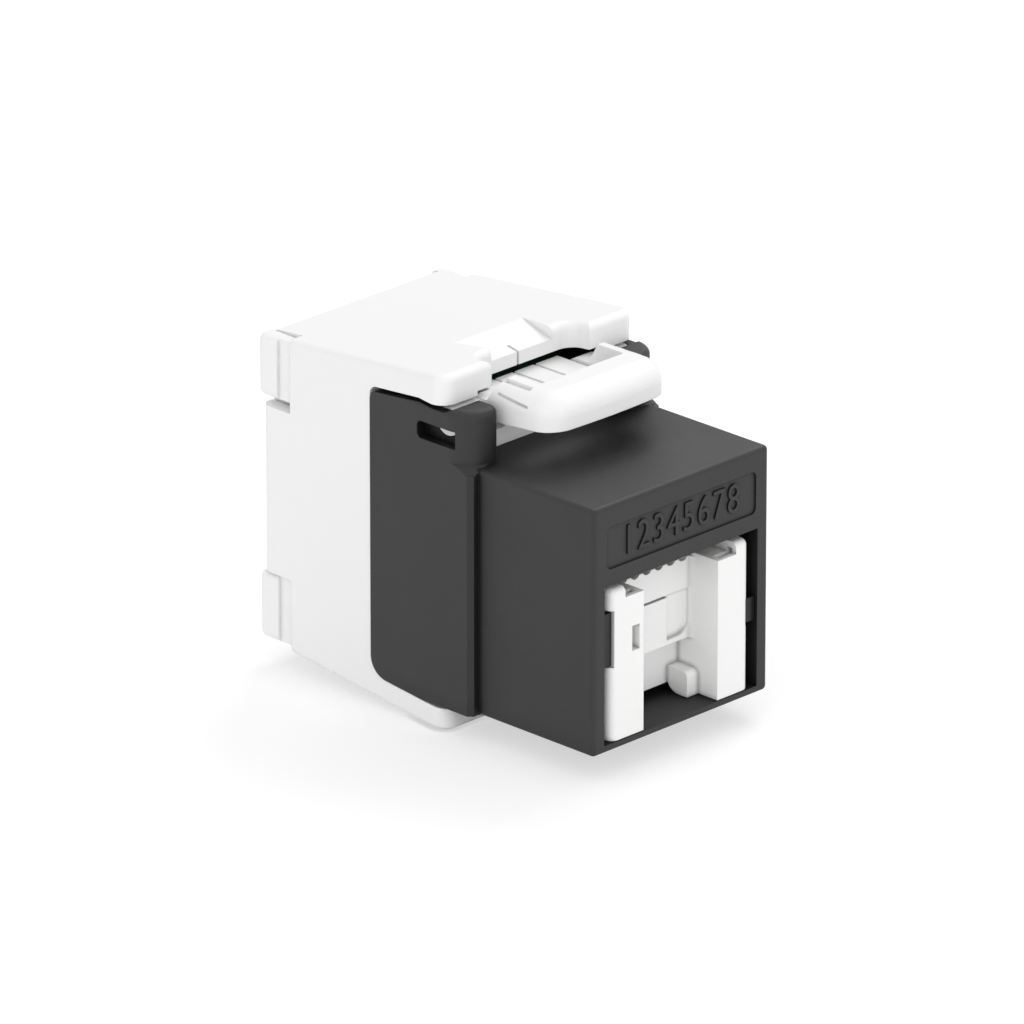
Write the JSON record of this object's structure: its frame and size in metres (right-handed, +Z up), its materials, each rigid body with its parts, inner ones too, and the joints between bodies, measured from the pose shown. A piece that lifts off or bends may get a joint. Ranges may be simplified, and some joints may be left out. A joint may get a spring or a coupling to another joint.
{
  "type": "keystone jack",
  "caption": "Toolless 8-way network socket that snaps into a panel, with a sprung dust shutter in its square port, a hinged panel latch and a push-on wiring cap.",
  "frame": {"origin": "bottom centre of the box round the whole jack", "axes": "+X across the port, +Y from the port towards the cable, +Z up through the latch"},
  "size_m": [0.0162, 0.0276, 0.0226],
  "materials": {
    "dark_plastic": "fine matt, dark grey",
    "white_plastic": "satin white",
    "shutter_plastic": "satin white",
    "block_plastic": "satin off-white",
    "board_laminate": "green solder mask",
    "contact_metal": "gold plated",
    "blade_metal": "tin plated",
    "spring_steel": "bright wire"
  },
  "bodies": {
    "body": {"jack_body": "dark_plastic", "inner_housing": "white_plastic", "contact_1": "contact_metal", "contact_2": "contact_metal", "contact_3": "contact_metal", "contact_4": "contact_metal", "contact_5": "contact_metal", "contact_6": "contact_metal", "contact_7": "contact_metal", "contact_8": "contact_metal", "contact_carrier": "dark_plastic", "circuit_board": "board_laminate", "idc_block_lower": "block_plastic", "idc_block_upper": "block_plastic", "idc_contact_1": "blade_metal", "idc_contact_2": "blade_metal", "idc_contact_3": "blade_metal", "idc_contact_4": "blade_metal", "idc_contact_5": "blade_metal", "idc_contact_6": "blade_metal", "idc_contact_7": "blade_metal", "idc_contact_8": "blade_metal"},
    "shutter": {"port_shutter": "shutter_plastic", "shutter_spring_left": "spring_steel", "shutter_spring_right": "spring_steel"},
    "latch": {"panel_latch": "white_plastic"},
    "cap": {"wiring_cap": "white_plastic", "wire_guide": "white_plastic", "cable_plate": "white_plastic"}
  },
  "joints": [
    {"name": "shutter_slide", "type": "slide", "parent": "body", "child": "shutter", "axis": [0, 1, 0], "range_m": [0, 0.0075], "stiffness_N_per_m": 10, "springref_m": -0.002, "deforming": ["shutter_spring_left", "shutter_spring_right"]},
    {"name": "latch_hinge", "type": "hinge", "parent": "body", "child": "latch", "pos_m": [0, -0.0018, 0.01965], "axis": [1, 0, 0], "range_deg": [0, 14], "stiffness_Nm_per_rad": 0.0002, "springref_deg": -5.73},
    {"name": "cap_slide", "type": "slide", "parent": "body", "child": "cap", "axis": [0, 1, 0], "range_m": [0, 0.012]}
  ]
}
